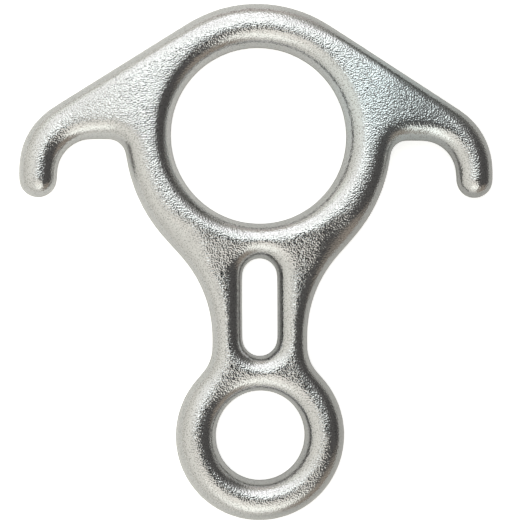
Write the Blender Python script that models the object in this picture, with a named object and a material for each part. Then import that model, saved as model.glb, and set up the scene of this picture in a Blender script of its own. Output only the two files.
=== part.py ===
# Rescue figure eight descender with ears, drop forged in one piece.
# Run with: blender --background --python part.py
#
# It lies on a table: X runs across the ears, Y from the small eye up to the large ring, and Z through
# the thickness. The origin is under the middle of its length, on the surface that it rests on.
#
# A forging is what its two dies leave: a parting outline, and a depth above that outline at every
# point. So the outline is drawn first, as arcs and lines that touch, then the upper half is raised from
# it by the depth of the die, and the lower half is its mirror image.

import bpy
import bmesh
import math
import numpy as np
from mathutils import Vector
from mathutils.geometry import delaunay_2d_cdt

MM = 0.001

# Large ring, which the rope runs through, and small eye, which hangs in the karabiner
RING_BORE = 55.0 * MM
RING_BAR = 13.5 * MM
EYE_BORE = 28.0 * MM
EYE_BAR = 12.1 * MM

# Neck between them, with its belay slot
SLOT_WIDTH = 11.2 * MM
SLOT_LENGTH = 30.5 * MM
RING_BRIDGE = 10.5 * MM  # metal between the ring's bore and the slot
EYE_BRIDGE = 10.4 * MM  # metal between the slot and the eye's bore
NECK_BAR = 9.0 * MM  # metal on each side of the slot, at the waist
NECK_STRAIGHT = 3.0 * MM  # upright run between the hollow sweep of the neck and the fillet
EYE_FILLET = 12.0 * MM
FLANK_RADIUS = 47.5 * MM  # fuller curve of the ring's flanks below the ears
FLANK_SWELL = 0.5 * MM  # how far a flank stands outside the ring's own circle
SHOULDER_SLOPE = math.radians(48)  # straight run from a flank down to the neck

# Ears, which stop the rope from riding up over the ring
EAR_SLOPE = math.radians(32.5)  # fall of an ear's top edge
NOTCH_WIDTH = 20.9 * MM  # from the ring's flank across to the inside of the hook
NOTCH_CORNER = 5.5 * MM
HOOK_INSIDE = 10.8 * MM
HOOK_OUTSIDE = 21.9 * MM
HOOK_DROP = 1.6 * MM  # the inside curve's centre lies this far below the outside one's
TIP_WIDTH = 11.3 * MM
TIP_DROP = 1.6 * MM  # straight run between the inside curve and the round tip

# Section
THICKNESS = 13.0 * MM
EAR_THICKNESS = 10.4 * MM
EAR_TAPER_START = 38.0 * MM  # distance from the centre line at which an ear begins to thin
EAR_TAPER_LENGTH = 24.0 * MM
NECK_THICKNESS = 10.4 * MM
NECK_THIN_START = 7.5 * MM  # below the slot's top
NECK_THIN_END = 7.5 * MM  # below the slot's bottom
NECK_TAPER_LENGTH = 20.0 * MM  # length in which the neck thickens again towards the ring and the eye
CREST_LAND = 1.0 * MM  # flat along the top of the ring's bar
FLASH_BAND = 2.2 * MM  # upright band left on every edge where the flash was trimmed off

# Edge rolls: the distance in which each edge rounds over from the parting band to the full thickness
SLOT_ROLL = 5.4 * MM
NECK_ROLL = 5.0 * MM
SHOULDER_ROLL = 12.0 * MM
NOTCH_ROLL = 6.0 * MM
EAR_ROLL = 4.2 * MM
ROLL_BLEND = 9.0 * MM  # length over which one roll passes into the next along the outline

# Fineness of the facets
FACET = 2.9 * MM
FACET_TURN = math.radians(13)
ROLL_ROWS = 5
WEB_PITCH = 3.8 * MM
CREST_GAP = 0.9 * MM  # least strip left between the rows that climb from opposite edges
TRACE_STEP = 0.4 * MM  # spacing of the fine tracing of the edges that distances are measured to
TRACE_SLACK = 0.03 * MM  # how far the tracing may cut inside a curve
MERGE = 0.3 * MM

# Sizes that follow from these
RING_RADIUS = RING_BORE / 2 + RING_BAR
EYE_RADIUS = EYE_BORE / 2 + EYE_BAR
RING_ROLL = (RING_BAR - CREST_LAND) / 2
EYE_ROLL = (EYE_BAR - CREST_LAND) / 2
HOOK_ROLL = TIP_WIDTH / 2
WAIST = SLOT_WIDTH / 2 + NECK_BAR
SLOT_TOP = -RING_BORE / 2 - RING_BRIDGE
SLOT_BOTTOM = SLOT_TOP - SLOT_LENGTH
EYE_Y = SLOT_BOTTOM - EYE_BRIDGE - EYE_BORE / 2
MIDDLE_Y = (RING_RADIUS + EYE_Y - EYE_RADIUS) / 2
BAND_SINE = FLASH_BAND / THICKNESS
BAND_COSINE = math.sqrt(1 - BAND_SINE**2)


# An edge is walked with the metal on its right. Each stretch gives points and inward directions for
# shares from 0 to 1 of its length, and the roll that its edge has.
class Arc:
    def __init__(self, centre, radius, start, end, roll):
        self.centre = Vector(centre)
        self.radius = radius
        self.start = start
        self.end = end
        self.roll = roll
        self.turn = abs(end - start)
        self.length = radius * self.turn

    def at(self, share):
        angle = self.start + (self.end - self.start) * share
        out = Vector((math.cos(angle), math.sin(angle)))
        inward = out if self.end > self.start else -out
        return self.centre + out * self.radius, inward


class Line:
    def __init__(self, start, end, roll):
        self.start = Vector(start)
        self.run = Vector(end) - self.start
        self.roll = roll
        self.turn = 0.0
        self.length = self.run.length

    def at(self, share):
        along = self.run.normalized()
        return self.start + self.run * share, Vector((along.y, -along.x))


def right_half_of_outline():
    """Stretches from the top of the ring, round the right ear and down to the bottom of the eye."""
    top = math.pi / 2
    rise = top - EAR_SLOPE
    ear_normal = Vector((math.cos(rise), math.sin(rise)))

    # The hook's outside curve touches the ear's top edge, which itself touches the ring.
    flank_x = RING_RADIUS + FLANK_SWELL
    inside_x = flank_x + NOTCH_WIDTH
    outside_x = inside_x + TIP_WIDTH
    hook_x = outside_x - HOOK_OUTSIDE
    hook_y = (RING_RADIUS - HOOK_OUTSIDE - ear_normal.x * hook_x) / ear_normal.y
    hook = Vector((hook_x, hook_y))
    inner = Vector((inside_x - HOOK_INSIDE, hook_y - HOOK_DROP))
    tip = Vector((inside_x + TIP_WIDTH / 2, inner.y - TIP_DROP))

    # The notch's corner touches both its level top and the flank.
    flank = Vector((flank_x - FLANK_RADIUS, 0))
    notch_top = inner.y + HOOK_INSIDE
    corner_radius = min(NOTCH_CORNER, NOTCH_WIDTH - HOOK_INSIDE)
    corner_y = notch_top - corner_radius
    corner_x = flank.x + math.sqrt((FLANK_RADIUS + corner_radius) ** 2 - corner_y**2)
    corner = Vector((corner_x, corner_y))
    contact = math.atan2(corner.y, corner.x - flank.x)

    # The fillet above the eye touches the waist and the eye.
    fillet_x = WAIST + EYE_FILLET
    fillet = Vector((fillet_x, EYE_Y + math.sqrt((EYE_RADIUS + EYE_FILLET) ** 2 - fillet_x**2)))
    fillet_angle = math.atan2(fillet.y - EYE_Y, fillet.x)

    # The sweep has the one radius that touches both the sloping shoulder and the waist.
    leave = SHOULDER_SLOPE - top
    shoulder_normal = Vector((math.cos(leave), math.sin(leave)))
    shoulder = flank + shoulder_normal * FLANK_RADIUS
    waist_top = Vector((WAIST, fillet.y + NECK_STRAIGHT))
    sweep_radius = shoulder_normal.dot(waist_top - shoulder) / (1 - shoulder_normal.x)
    sweep = waist_top + Vector((sweep_radius, 0))

    return [
        Arc((0, 0), RING_RADIUS, top, rise, RING_ROLL),
        Line(ear_normal * RING_RADIUS, hook + ear_normal * HOOK_OUTSIDE, EAR_ROLL),
        Arc(hook, HOOK_OUTSIDE, rise, 0, HOOK_ROLL),
        Line((outside_x, hook.y), (outside_x, tip.y), HOOK_ROLL),
        Arc(tip, TIP_WIDTH / 2, 0, -math.pi, HOOK_ROLL),
        Line((inside_x, tip.y), (inside_x, inner.y), HOOK_ROLL),
        Arc(inner, HOOK_INSIDE, 0, top, HOOK_ROLL),
        Line((inner.x, notch_top), (corner.x, notch_top), NOTCH_ROLL),
        Arc(corner, corner_radius, top, contact + math.pi, NOTCH_ROLL),
        Arc(flank, FLANK_RADIUS, contact, leave, RING_ROLL),
        Line(shoulder, sweep - shoulder_normal * sweep_radius, SHOULDER_ROLL),
        Arc(sweep, sweep_radius, leave + math.pi, math.pi, NECK_ROLL),
        Line(waist_top, (WAIST, fillet.y), NECK_ROLL),
        Arc(fillet, EYE_FILLET, math.pi, fillet_angle + math.pi, NECK_ROLL),
        Arc((0, EYE_Y), EYE_RADIUS, fillet_angle, -top, EYE_ROLL),
    ]


def round_hole(y, radius, roll):
    return [Arc((0, y), radius, 0, 2 * math.pi, roll)]


def slot_hole():
    end_radius = SLOT_WIDTH / 2
    top = SLOT_TOP - end_radius
    bottom = SLOT_BOTTOM + end_radius
    return [
        Line((end_radius, bottom), (end_radius, top), SLOT_ROLL),
        Arc((0, top), end_radius, 0, math.pi, SLOT_ROLL),
        Line((-end_radius, top), (-end_radius, bottom), SLOT_ROLL),
        Arc((0, bottom), end_radius, math.pi, 2 * math.pi, SLOT_ROLL),
    ]


def walk(stretches, step, turn):
    """Points, inward directions and rolls along stretches, each row one point."""
    points, inward, rolls = [], [], []
    for stretch in stretches:
        count = max(1, math.ceil(stretch.length / step), math.ceil(stretch.turn / turn))
        for i in range(count):
            point, direction = stretch.at(i / count)
            points.append(point)
            inward.append(direction)
            rolls.append(stretch.roll)
    return np.array(points), np.array(inward), np.array(rolls)


def blended(points, rolls):
    """Rolls averaged along a closed edge, so that one passes into the next without a step."""
    lengths = np.linalg.norm(np.roll(points, -1, axis=0) - points, axis=1)
    place = np.cumsum(lengths) - lengths
    apart = np.abs(place[:, None] - place[None, :])
    apart = np.minimum(apart, lengths.sum() - apart)
    weight = np.clip(1 - apart / ROLL_BLEND, 0, None) * (lengths + np.roll(lengths, 1))
    return (weight * rolls).sum(axis=1) / weight.sum(axis=1)


def outline_walk(step, turn):
    """The whole outline: the right half, then its mirror image walked back up."""
    points, inward, rolls = walk(right_half_of_outline(), step, turn)
    bottom = np.array([[0.0, EYE_Y - EYE_RADIUS]])
    left_points = np.vstack([bottom, points[:0:-1] * (-1, 1)])
    left_inward = np.vstack([np.array([[0.0, 1.0]]), inward[:0:-1] * (-1, 1)])
    left_rolls = np.append(EYE_ROLL, rolls[:0:-1])
    points = np.vstack([points, left_points])
    rolls = np.append(rolls, left_rolls)
    return points, np.vstack([inward, left_inward]), blended(points, rolls)


def edge_walks(step, turn):
    return [
        outline_walk(step, turn),
        walk(round_hole(0, RING_BORE / 2, RING_ROLL), step, turn),
        walk(slot_hole(), step, turn),
        walk(round_hole(EYE_Y, EYE_BORE / 2, EYE_ROLL), step, turn),
    ]


# Fine tracing of the four edges, which every depth is measured from
TRACED = edge_walks(TRACE_STEP, FACET_TURN / 3)


def nearest(points, edge):
    """For each point, its distance to a traced edge and the roll that the edge has there."""
    traced, _, rolls = edge
    run = np.roll(traced, -1, axis=0) - traced
    offset = points[:, None, :] - traced[None, :, :]
    share = np.clip((offset * run).sum(axis=2) / (run**2).sum(axis=1), 0, 1)
    distance = np.linalg.norm(offset - share[:, :, None] * run, axis=2)
    best = distance.argmin(axis=1)
    row = np.arange(len(points))
    along = share[row, best]
    roll = rolls[best] * (1 - along) + np.roll(rolls, -1)[best] * along
    return distance[row, best], roll


def clear_of_edges(points):
    """Distance from each point to whichever edge is nearest."""
    return np.min([nearest(points, edge)[0] for edge in TRACED], axis=0)


def eased(share):
    """0 to 1 with a soft start and a soft end."""
    share = np.clip(share, 0, 1)
    return share * share * (3 - 2 * share)


def die_depth(points):
    """Half thickness at each point. Every edge rolls over in its own distance, and the rolls multiply."""
    x, y = points[:, 0], points[:, 1]
    ear = eased((np.abs(x) - EAR_TAPER_START) / EAR_TAPER_LENGTH)
    off_neck = np.maximum(y - (SLOT_TOP - NECK_THIN_START), SLOT_BOTTOM - NECK_THIN_END - y)
    neck = 1 - eased(off_neck / NECK_TAPER_LENGTH)
    depth = (THICKNESS - ear * (THICKNESS - EAR_THICKNESS) - neck * (THICKNESS - NECK_THICKNESS)) / 2
    for edge in TRACED:
        distance, roll = nearest(points, edge)
        short = BAND_COSINE * np.clip(1 - distance / roll, 0, 1)
        depth = depth * np.sqrt(1 - short**2)
    return depth


def room_inward(points, inward, rolls):
    """How far the rows can climb from each edge point before they would meet those from the other side."""
    low = np.zeros(len(points))
    high = rolls + CREST_GAP
    for _ in range(16):
        middle = (low + high) / 2
        free = clear_of_edges(points + inward * middle[:, None]) > middle - TRACE_SLACK
        low = np.where(free, middle, low)
        high = np.where(free, high, middle)
    return np.minimum(rolls, low - CREST_GAP / 2)


def rows_of(edge):
    """Rows of points that climb from one edge, at even steps of the roll's angle."""
    points, inward, rolls = edge
    reach = room_inward(points, inward, rolls)
    start = math.asin(BAND_SINE)
    rows = []
    for k in range(ROLL_ROWS + 1):
        angle = start + (math.pi / 2 - start) * k / ROLL_ROWS
        share = 1 - math.cos(angle) / BAND_COSINE
        rows.append(points + inward * (reach * share)[:, None])
    return rows


def crossings(points, loop):
    """How many sides of a closed loop lie to the right of each point."""
    ends = np.roll(loop, -1, axis=0)
    x, y = points[:, 0, None], points[:, 1, None]
    spans = (loop[:, 1] > y) != (ends[:, 1] > y)
    rise = np.where(ends[:, 1] == loop[:, 1], 1, ends[:, 1] - loop[:, 1])
    meets = loop[:, 0] + (y - loop[:, 1]) / rise * (ends[:, 0] - loop[:, 0])
    return (spans & (x < meets)).sum(axis=1)


def web_points(loops):
    """A staggered grid of points over the flats, clear of the loops that bound them."""
    border = np.vstack(loops)
    low, high = border.min(axis=0), border.max(axis=0)
    row_pitch = WEB_PITCH * math.sqrt(3) / 2
    columns = math.ceil(high[0] / WEB_PITCH)
    rows = math.ceil((high[1] - low[1]) / row_pitch)
    grid = np.array(
        [
            ((column + (row % 2) / 2) * WEB_PITCH, low[1] + row * row_pitch)
            for row in range(rows)
            for column in range(-columns - 1, columns + 1)
        ]
    )
    inside = sum(crossings(grid, loop) for loop in loops) % 2 == 1
    grid = grid[inside]
    gap = np.linalg.norm(grid[:, None, :] - border[None, :, :], axis=2).min(axis=1)
    return grid[gap > WEB_PITCH * 0.6]


def fill_web(loops):
    """Triangles between the innermost rows. Returns points, of which the loops' come first, and triangles."""
    points = np.vstack([*loops, web_points(loops)])
    sides = []
    first = 0
    for loop in loops:
        sides += [(first + i, first + (i + 1) % len(loop)) for i in range(len(loop))]
        first += len(loop)
    made = delaunay_2d_cdt([Vector(p) for p in points], sides, [], 0, MERGE / 1000)
    triangles = np.array(made[2])
    corners = points[triangles]
    inside = sum(crossings(corners.mean(axis=1), loop) for loop in loops) % 2 == 1

    # Points along a straight row also make slivers just outside it, which have no width.
    first, second = corners[:, 1] - corners[:, 0], corners[:, 2] - corners[:, 0]
    doubled_area = np.abs(first[:, 0] * second[:, 1] - first[:, 1] * second[:, 0])
    return points, triangles[inside & (doubled_area > MERGE**2 / 100)]


def upper_half():
    """Mesh of the upper half, from the parting plane up."""
    mesh = bmesh.new()

    def add(points):
        return [mesh.verts.new((x, y, z)) for (x, y), z in zip(points, die_depth(points))]

    def add_row(points):
        """One vertex for each point, and one for all of those that crowd together round a tip."""
        kept, order = [0], [0]
        for i in range(1, len(points)):
            if math.dist(points[i], points[kept[-1]]) > MERGE:
                kept.append(i)
            order.append(len(kept) - 1)
        vertices = add(points[kept])
        return [vertices[i] for i in order], points[kept], vertices

    loops, web = [], []
    for edge in edge_walks(FACET, FACET_TURN):
        rows = rows_of(edge)
        outer = [mesh.verts.new((x, y, 0)) for x, y in rows[0]]
        for row in rows:
            inner, kept, vertices = add_row(row)
            for i in range(len(outer)):
                j = (i + 1) % len(outer)
                corners = dict.fromkeys((outer[i], outer[j], inner[j], inner[i]))
                if len(corners) > 2:
                    mesh.faces.new(corners)
            outer = inner
        loops.append(kept)
        web += vertices

    points, triangles = fill_web(loops)
    web += add(points[len(web) :])
    for triangle in triangles:
        mesh.faces.new([web[i] for i in triangle])
    bmesh.ops.recalc_face_normals(mesh, faces=mesh.faces)
    return mesh


def bright_steel():
    """Forged alloy steel, tumbled and bright plated."""
    material = bpy.data.materials.new("bright_steel")
    material.use_nodes = True
    shader = material.node_tree.nodes["Principled BSDF"]
    shader.inputs["Base Color"].default_value = (0.56, 0.56, 0.54, 1)
    shader.inputs["Metallic"].default_value = 1.0
    shader.inputs["Roughness"].default_value = 0.28
    return material


def forged_body():
    mesh = bpy.data.meshes.new("forged_body")
    half = upper_half()
    half.to_mesh(mesh)
    half.free()
    mesh.shade_smooth()
    mesh.materials.append(bright_steel())
    body = bpy.data.objects.new("forged_body", mesh)
    bpy.context.scene.collection.objects.link(body)
    body.location = (0, -MIDDLE_Y, THICKNESS / 2)
    lower = body.modifiers.new("lower half", "MIRROR")
    lower.use_axis = (False, False, True)
    lower.merge_threshold = 0.00001
    return body


for leftover in list(bpy.data.objects):
    bpy.data.objects.remove(leftover)
forged_body()
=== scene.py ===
import math

import bpy
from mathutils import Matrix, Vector


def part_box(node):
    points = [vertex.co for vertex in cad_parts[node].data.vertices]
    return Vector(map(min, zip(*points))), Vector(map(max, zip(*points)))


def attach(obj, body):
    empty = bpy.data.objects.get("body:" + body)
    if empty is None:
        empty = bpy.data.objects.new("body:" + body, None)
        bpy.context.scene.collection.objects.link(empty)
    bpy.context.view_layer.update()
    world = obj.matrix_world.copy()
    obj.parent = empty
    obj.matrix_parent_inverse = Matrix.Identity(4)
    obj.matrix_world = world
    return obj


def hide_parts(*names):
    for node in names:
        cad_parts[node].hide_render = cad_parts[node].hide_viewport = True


mm = 0.001

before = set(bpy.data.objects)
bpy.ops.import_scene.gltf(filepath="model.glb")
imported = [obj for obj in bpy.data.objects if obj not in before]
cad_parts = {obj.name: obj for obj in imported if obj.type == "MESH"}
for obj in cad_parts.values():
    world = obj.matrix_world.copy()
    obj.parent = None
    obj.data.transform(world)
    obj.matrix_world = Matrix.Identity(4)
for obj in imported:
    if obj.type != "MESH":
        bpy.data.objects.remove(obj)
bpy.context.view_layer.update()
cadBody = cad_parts["forged_body"]
low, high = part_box("forged_body")
middleZ = (low.z + high.z) / 2
print("frame loaded")


# sRGB hex to the linear colour that a shader takes
def linear(hexColour):
    channels = [int(hexColour[i : i + 2], 16) / 255 for i in (1, 3, 5)]
    return [c / 12.92 if c <= 0.04045 else ((c + 0.055) / 1.055) ** 2.4 for c in channels] + [1]


# An input goes by its name, or by its number where the node has several of that name. A Mix node has its
# share at 0, its two numbers at 2 and 3, and its two colours at 6 and 7.
def addNode(tree, kind, settings=None, inputs=None):
    node = tree.nodes.new(kind)
    for name, value in (settings or {}).items():
        setattr(node, name, value)
    for name, value in (inputs or {}).items():
        socket = node.inputs[name]
        if isinstance(value, bpy.types.NodeSocket):
            tree.links.new(value, socket)
        else:
            socket.default_value = value
    return node


# The forging itself: the CAD solid, rounded from its facets and given the die's grain

forging = {
    "mergeDistance": 0.01 * mm,
    "rounding": 2,  # subdivision levels
    "voxel": 0.53 * mm,
    "fairing": {"passes": 8, "factor": 0.5},  # smoothing of the voxel surface
    "flashLine": {"half": 0.6 * mm, "fade": 0.4 * mm, "height": 0.14 * mm},
    "orangePeel": {"size": 3.2 * mm, "height": 0.03 * mm},
    "dieGrain": {"size": 1.2 * mm, "height": 0.02 * mm},
}


def applyModifier(piece, kind, settings):
    modifier = piece.modifiers.new(kind.lower(), kind)
    for name, value in settings.items():
        setattr(modifier, name, value)
    bpy.ops.object.modifier_apply(modifier=modifier.name)


# The shape starts as a copy of the CAD solid, without its marks as a node, its facets joined at their edges.
def copyCadBody():
    bpy.ops.object.select_all(action="DESELECT")
    cadBody.select_set(True)
    bpy.context.view_layer.objects.active = cadBody
    bpy.ops.object.duplicate()
    body = bpy.context.active_object
    body.name = "forging"
    body.parent = None
    for key in [key for key in body.keys() if key.startswith("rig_")]:
        del body[key]

    bpy.ops.object.mode_set(mode="EDIT")
    bpy.ops.mesh.select_all(action="SELECT")
    bpy.ops.mesh.remove_doubles(threshold=forging["mergeDistance"])
    bpy.ops.mesh.tris_convert_to_quads()
    bpy.ops.object.mode_set(mode="OBJECT")
    return body


# How level the surface is, for the material's wear
def markLevel(body):
    level = body.data.attributes.new("level", "FLOAT", "POINT")
    level.data.foreach_set("value", [abs(vertex.normal.z) for vertex in body.data.vertices])


# The flash was squeezed out between the dies at half thickness, and its trimming left a low ridge there.
def raiseFlashLine(body):
    flash = forging["flashLine"]
    ridge = body.vertex_groups.new(name="flashLine")
    for vertex in body.data.vertices:
        beyond = abs(vertex.co.z - middleZ) - flash["half"]
        share = 1 - max(beyond, 0) / flash["fade"]
        if share > 0:
            ridge.add([vertex.index], share, "REPLACE")
    applyModifier(
        body, "DISPLACE", {"vertex_group": ridge.name, "mid_level": 0, "strength": flash["height"]}
    )


def roughen(body, name):
    texture = bpy.data.textures.new(name, "CLOUDS")
    texture.noise_scale = forging[name]["size"]
    texture.noise_depth = 1
    texture.noise_basis = "ORIGINAL_PERLIN"
    applyModifier(
        body, "DISPLACE",
        {"texture": texture, "texture_coords": "LOCAL", "strength": forging[name]["height"]},
    )


def makeForging():
    body = copyCadBody()
    levels = forging["rounding"]
    applyModifier(body, "SUBSURF", {"levels": levels, "render_levels": levels})
    applyModifier(body, "REMESH", {"mode": "VOXEL", "voxel_size": forging["voxel"]})
    fairing = forging["fairing"]
    applyModifier(body, "SMOOTH", {"factor": fairing["factor"], "iterations": fairing["passes"]})
    markLevel(body)
    raiseFlashLine(body)
    roughen(body, "orangePeel")
    roughen(body, "dieGrain")
    bpy.ops.object.shade_smooth()
    print("forging", len(body.data.polygons), "faces")
    return body


# Bright plated steel: hot forged, shot blasted, tumbled and plated, so it mirrors the room softly through
# the dimples that the shot left. Sizes, depths and places are in mm.
platedSteel = {
    "colour": "#CBCBCB",
    "shade": "#C1C1C2",
    "roughness": (0.09, 0.14),
    "clouds": {"size": 14, "detail": 3, "low": 0.35, "high": 0.65},  # patches of duller plating
    "dimples": {"size": 0.46, "detail": 0, "depth": 0.1},  # drawn coarser than shot leaves, so that they show
    "grit": {"size": 0.28, "detail": 0, "depth": 0.008},
    "pits": {"size": 0.4, "detail": 0, "low": 0.5, "high": 0.8, "colour": "#A6A7A7"},
    # The rounded edges are tumbled smoother than the flats: the grain is whole where the surface is as level
    # as high, and fades to this share of its depth at low.
    "worn": {"low": 0.88, "high": 0.99, "share": 0.6},
    # Painted reflection: round the right ear the colour is tinted bluer, standing in for the bluish light
    # that the metal mirrors there.
    "paintedBlueReflection": {"centre": (42, 54, 6), "near": 4, "far": 34, "colour": "#CAD2D5"},  # bluer there
    # The flash was cut off close to half thickness, within near and fading out at far. The cut left fine
    # marks up and down.
    "sheared": {"near": 0.6, "far": 0.9, "roughness": 0.34, "colour": "#AFAFAD"},
    "shearMarks": {"width": 0.5, "length": 5, "depth": 0.08},
}


def findSheared(tree, inMm):
    cut = platedSteel["sheared"]
    height = addNode(tree, "ShaderNodeSeparateXYZ", None, {0: inMm}).outputs["Z"]
    above = addNode(
        tree, "ShaderNodeMath", {"operation": "SUBTRACT"}, {0: height, 1: middleZ / mm}
    ).outputs[0]
    fromMiddle = addNode(tree, "ShaderNodeMath", {"operation": "ABSOLUTE"}, {0: above}).outputs[0]
    return addNode(
        tree, "ShaderNodeMapRange", {"interpolation_type": "SMOOTHSTEP"},
        {"Value": fromMiddle, "From Min": cut["far"], "From Max": cut["near"]},
    ).outputs[0]


def makeGrain(tree, inMm, patterns, sheared):
    worn = platedSteel["worn"]
    level = addNode(tree, "ShaderNodeAttribute", {"attribute_name": "level"}).outputs["Fac"]
    sharpness = addNode(
        tree, "ShaderNodeMapRange", {"interpolation_type": "SMOOTHSTEP"},
        {"Value": level, "From Min": worn["low"], "From Max": worn["high"], "To Min": worn["share"]},
    ).outputs[0]
    dimpled = addNode(
        tree, "ShaderNodeBump", None,
        {
            "Height": patterns["dimples"],
            "Distance": platedSteel["dimples"]["depth"] * mm,
            "Strength": sharpness,
        },
    ).outputs["Normal"]
    gritty = addNode(
        tree, "ShaderNodeBump", None,
        {
            "Height": patterns["grit"],
            "Distance": platedSteel["grit"]["depth"] * mm,
            "Strength": sharpness,
            "Normal": dimpled,
        },
    ).outputs["Normal"]

    marks = platedSteel["shearMarks"]
    along = addNode(
        tree, "ShaderNodeVectorMath", {"operation": "MULTIPLY"},
        {0: inMm, 1: (1, 1, marks["width"] / marks["length"])},
    ).outputs[0]
    scored = addNode(
        tree, "ShaderNodeTexNoise", None, {"Vector": along, "Scale": 1 / marks["width"]}
    ).outputs["Fac"]
    return addNode(
        tree, "ShaderNodeBump", None,
        {"Height": scored, "Distance": marks["depth"] * mm, "Strength": sheared, "Normal": gritty},
    ).outputs["Normal"]


def makePlatingColour(tree, inMm, patterns, sheared):
    colour = addNode(
        tree, "ShaderNodeMix", {"data_type": "RGBA"},
        {0: patterns["clouds"], 6: linear(platedSteel["colour"]), 7: linear(platedSteel["shade"])},
    ).outputs[2]

    # Painted reflection: the colour turns bluer near the right ear, for the bluish light mirrored there.
    blue = platedSteel["paintedBlueReflection"]
    away = addNode(
        tree, "ShaderNodeVectorMath", {"operation": "DISTANCE"}, {0: inMm, 1: blue["centre"]}
    ).outputs["Value"]
    bluer = addNode(
        tree, "ShaderNodeMapRange", {"interpolation_type": "SMOOTHSTEP"},
        {"Value": away, "From Min": blue["far"], "From Max": blue["near"]},
    ).outputs[0]
    pits = platedSteel["pits"]
    pitted = addNode(
        tree, "ShaderNodeMapRange", None,
        {"Value": patterns["pits"], "From Min": pits["low"], "From Max": pits["high"]},
    ).outputs[0]
    for share, name in ((bluer, "paintedBlueReflection"), (pitted, "pits"), (sheared, "sheared")):
        colour = addNode(
            tree, "ShaderNodeMix", {"data_type": "RGBA"},
            {0: share, 6: colour, 7: linear(platedSteel[name]["colour"])},
        ).outputs[2]
    return colour


def makePlatingRoughness(tree, patterns, sheared):
    smooth, dull = platedSteel["roughness"]
    clouds = platedSteel["clouds"]
    roughness = addNode(
        tree, "ShaderNodeMapRange", None,
        {
            "Value": patterns["clouds"],
            "From Min": clouds["low"],
            "From Max": clouds["high"],
            "To Min": smooth,
            "To Max": dull,
        },
    ).outputs[0]
    return addNode(
        tree, "ShaderNodeMix", None, {0: sheared, 2: roughness, 3: platedSteel["sheared"]["roughness"]}
    ).outputs[0]


def makePlatedSteel():
    material = bpy.data.materials.new("platedSteel")
    material.use_nodes = True
    tree = material.node_tree
    shader = tree.nodes["Principled BSDF"]
    shader.inputs["Metallic"].default_value = 1.0

    place = addNode(tree, "ShaderNodeTexCoord").outputs["Object"]
    inMm = addNode(
        tree, "ShaderNodeVectorMath", {"operation": "SCALE"}, {0: place, "Scale": 1 / mm}
    ).outputs[0]
    patterns = {}
    for name in ("clouds", "dimples", "grit", "pits"):
        pattern = platedSteel[name]
        patterns[name] = addNode(
            tree, "ShaderNodeTexNoise", None,
            {"Vector": inMm, "Scale": 1 / pattern["size"], "Detail": pattern["detail"]},
        ).outputs["Fac"]

    sheared = findSheared(tree, inMm)
    tree.links.new(makeGrain(tree, inMm, patterns, sheared), shader.inputs["Normal"])
    tree.links.new(makePlatingColour(tree, inMm, patterns, sheared), shader.inputs["Base Color"])
    tree.links.new(makePlatingRoughness(tree, patterns, sheared), shader.inputs["Roughness"])
    return material


body = makeForging()
body.data.materials.clear()
body.data.materials.append(makePlatedSteel())
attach(body, "root")
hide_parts("forged_body")
print("forging dressed")


# The white sheet that it lies on

# Its colour is painted darker towards the right, as painted shade for the weaker light there, and the metal
# mirrors that. Its glow makes it read as white: strongly to the camera, so that the shadows stay faint, and
# only a little in the metal.
sheet = {
    "size": 24,
    "colour": "#F7F7F5",
    "shade": {"colour": "#D1D1CF", "towards": (0.99, -0.14, 0), "from": -25 * mm, "to": 60 * mm},
    "glow": 0.69,
    "glowInMetal": 0.04,
}


# Painted shade: the sheet's colour darkens towards the right, where less light falls.
def makeSheetColour(tree):
    shade = sheet["shade"]
    place = addNode(tree, "ShaderNodeTexCoord").outputs["Object"]
    across = addNode(
        tree, "ShaderNodeVectorMath", {"operation": "DOT_PRODUCT"}, {0: place, 1: shade["towards"]}
    ).outputs["Value"]
    shaded = addNode(
        tree, "ShaderNodeMapRange", {"interpolation_type": "SMOOTHSTEP"},
        {"Value": across, "From Min": shade["from"], "From Max": shade["to"]},
    ).outputs[0]
    return addNode(
        tree, "ShaderNodeMix", {"data_type": "RGBA"},
        {0: shaded, 6: linear(sheet["colour"]), 7: linear(shade["colour"])},
    ).outputs[2]


def makeSheetGlow(tree):
    rays = addNode(tree, "ShaderNodeLightPath").outputs
    mirrored = addNode(
        tree, "ShaderNodeMath", {"operation": "MAXIMUM"},
        {0: rays["Is Glossy Ray"], 1: rays["Is Transmission Ray"]},
    ).outputs[0]
    inMetal = addNode(
        tree, "ShaderNodeMath", {"operation": "MULTIPLY"}, {0: mirrored, 1: sheet["glowInMetal"]}
    ).outputs[0]
    return addNode(
        tree, "ShaderNodeMath", {"operation": "MULTIPLY_ADD"},
        {0: rays["Is Camera Ray"], 1: sheet["glow"], 2: inMetal},
    ).outputs[0]


def makeSheet():
    bpy.ops.mesh.primitive_plane_add(size=sheet["size"], location=(0, 0, low.z))
    floor = bpy.context.active_object
    floor.name = "sheet"
    material = bpy.data.materials.new("whiteSheet")
    material.use_nodes = True
    tree = material.node_tree
    tree.nodes.clear()
    cloth = addNode(tree, "ShaderNodeBsdfDiffuse", None, {"Color": makeSheetColour(tree)}).outputs[0]
    glow = addNode(
        tree, "ShaderNodeEmission", None, {"Color": (1, 1, 1, 1), "Strength": makeSheetGlow(tree)}
    ).outputs[0]
    both = addNode(tree, "ShaderNodeAddShader", None, {0: cloth, 1: glow}).outputs[0]
    addNode(tree, "ShaderNodeOutputMaterial", None, {"Surface": both})
    floor.data.materials.append(material)
    return floor


makeSheet()
print("sheet laid")


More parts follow.
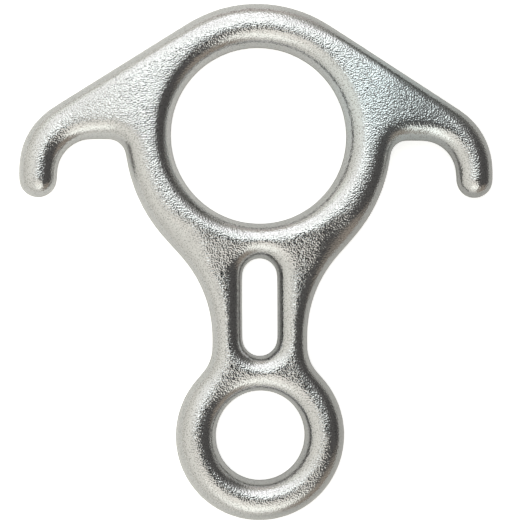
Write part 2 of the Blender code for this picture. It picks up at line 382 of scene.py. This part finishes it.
# The studio is a dome of light round the object, near enough that its two ends mirror different parts of
# it. A strength of 1 is white. Each lamp or flag is round, even over its core, and fades in its soft edge,
# and a later one covers those before it. All their angles are in degrees: at is the azimuth, which goes
# round from +X, and the zenith, which goes down from straight overhead.
studio = {
    "radius": 0.74,
    "segments": 96,
    "walls": ("#FFFDF3", 1.2),
    "skirting": {"strength": 0.74, "top": 0.95},  # the walls darken towards the floor
    "lamps": {
        "blackFlag": {"at": (-6, 41), "core": 31, "soft": 48, "colour": "#FFFBF7", "strength": 0.13},
        "sideFlag": {"at": (51, 76), "core": 0, "soft": 28, "colour": "#FFFDF4", "strength": 0.125},
        "window": {"at": (96, 41), "core": 16, "soft": 9, "colour": "#FEFCFF", "strength": 3.55},
        "frontFill": {"at": (-86, 47), "core": 14, "soft": 17, "colour": "#FFFFF6", "strength": 1.79},
        "backPanel": {"at": (103, 36), "core": 1, "soft": 49, "colour": "#FEFFFC", "strength": 1.47},
        "topPanel": {"at": (67, 12), "core": 13, "soft": 6, "colour": "#FAFFFC", "strength": 2.23},
        "topFlag": {"at": (11, 8), "core": 7, "soft": 8, "colour": "#FFFFFF", "strength": 0.01},
        "frontPanel": {"at": (-96, 24), "core": 13, "soft": 7, "colour": "#FFFBF1", "strength": 1.33},
        "backWall": {"at": (130, 64), "core": 4, "soft": 8, "colour": "#FCFFF6", "strength": 1.62},
        "backShade": {"at": (86, 95), "core": 17, "soft": 11, "colour": "#FFF5ED", "strength": 0.89},
        "frontShade": {"at": (-48, 79), "core": 8, "soft": 29, "colour": "#FFF0DE", "strength": 0.55},
    },
}


def lampDirection(lamp):
    azimuth, zenith = [math.radians(angle) for angle in lamp["at"]]
    level = math.sin(zenith)
    return (level * math.cos(azimuth), level * math.sin(azimuth), math.cos(zenith))


def scaled(hexColour, strength):
    return [channel * strength for channel in linear(hexColour)[:3]] + [1]


def makeDomeLight():
    material = bpy.data.materials.new("domeLight")
    material.use_nodes = True
    tree = material.node_tree
    tree.nodes.clear()
    place = addNode(tree, "ShaderNodeTexCoord").outputs["Object"]
    towards = addNode(tree, "ShaderNodeVectorMath", {"operation": "NORMALIZE"}, {0: place}).outputs[0]

    light = scaled(*studio["walls"])
    for lamp in studio["lamps"].values():
        facing = addNode(
            tree, "ShaderNodeVectorMath", {"operation": "DOT_PRODUCT"}, {0: towards, 1: lampDirection(lamp)}
        ).outputs["Value"]
        apart = addNode(tree, "ShaderNodeMath", {"operation": "ARCCOSINE"}, {0: facing}).outputs[0]
        core, soft = math.radians(lamp["core"]), math.radians(lamp["soft"])
        share = addNode(
            tree, "ShaderNodeMapRange", {"interpolation_type": "SMOOTHSTEP"},
            {"Value": apart, "From Min": core + soft, "From Max": core},
        ).outputs[0]
        light = addNode(
            tree, "ShaderNodeMix", {"data_type": "RGBA"},
            {0: share, 6: light, 7: scaled(lamp["colour"], lamp["strength"])},
        ).outputs[2]

    height = addNode(tree, "ShaderNodeSeparateXYZ", None, {0: towards}).outputs["Z"]
    skirting = studio["skirting"]
    strength = addNode(
        tree, "ShaderNodeMapRange", {"interpolation_type": "SMOOTHSTEP"},
        {"Value": height, "From Max": skirting["top"], "To Min": skirting["strength"]},
    ).outputs[0]
    glow = addNode(tree, "ShaderNodeEmission", None, {"Color": light, "Strength": strength}).outputs[0]
    addNode(tree, "ShaderNodeOutputMaterial", None, {"Surface": glow})
    return material


def makeDome():
    bpy.ops.object.select_all(action="DESELECT")
    segments = studio["segments"]
    bpy.ops.mesh.primitive_uv_sphere_add(
        segments=segments, ring_count=segments // 2, radius=studio["radius"]
    )
    dome = bpy.context.active_object
    dome.name = "dome"
    bpy.ops.object.mode_set(mode="EDIT")
    bpy.ops.mesh.select_all(action="SELECT")
    bpy.ops.mesh.bisect(plane_co=(0, 0, low.z), plane_no=(0, 0, 1), clear_inner=True)
    bpy.ops.object.mode_set(mode="OBJECT")
    dome.data.materials.append(makeDomeLight())
    dome.visible_camera = False
    return dome


def makeWhiteRoom():
    world = bpy.data.worlds.new("whiteRoom")
    bpy.context.scene.world = world
    world.use_nodes = True
    world.node_tree.nodes["Background"].inputs["Color"].default_value = (1, 1, 1, 1)


makeDome()
makeWhiteRoom()
print("studio lit")


# The camera looks almost straight down, a little from the object's left.
camera = {
    "distance": 0.45,
    "turn": 5.24,
    "tip": -1.1,
    "roll": 0.25,
    "aside": (1.06 * mm, -0.58 * mm),
    "lens": 99.24,
    "sensor": 36,
}


def makeCamera():
    data = bpy.data.cameras.new("camera")
    data.lens = camera["lens"]
    data.sensor_width = camera["sensor"]
    viewer = bpy.data.objects.new("camera", data)
    bpy.context.scene.collection.objects.link(viewer)
    viewer.rotation_mode = "ZXY"
    viewer.rotation_euler = [math.radians(-camera[name]) for name in ("tip", "turn", "roll")]
    right, up = camera["aside"]
    offset = viewer.rotation_euler.to_matrix() @ Vector((right, up, camera["distance"]))
    viewer.location = Vector((0, 0, middleZ)) + offset
    bpy.context.scene.camera = viewer


makeCamera()
bpy.context.scene.view_settings.view_transform = "Standard"
print("camera set")
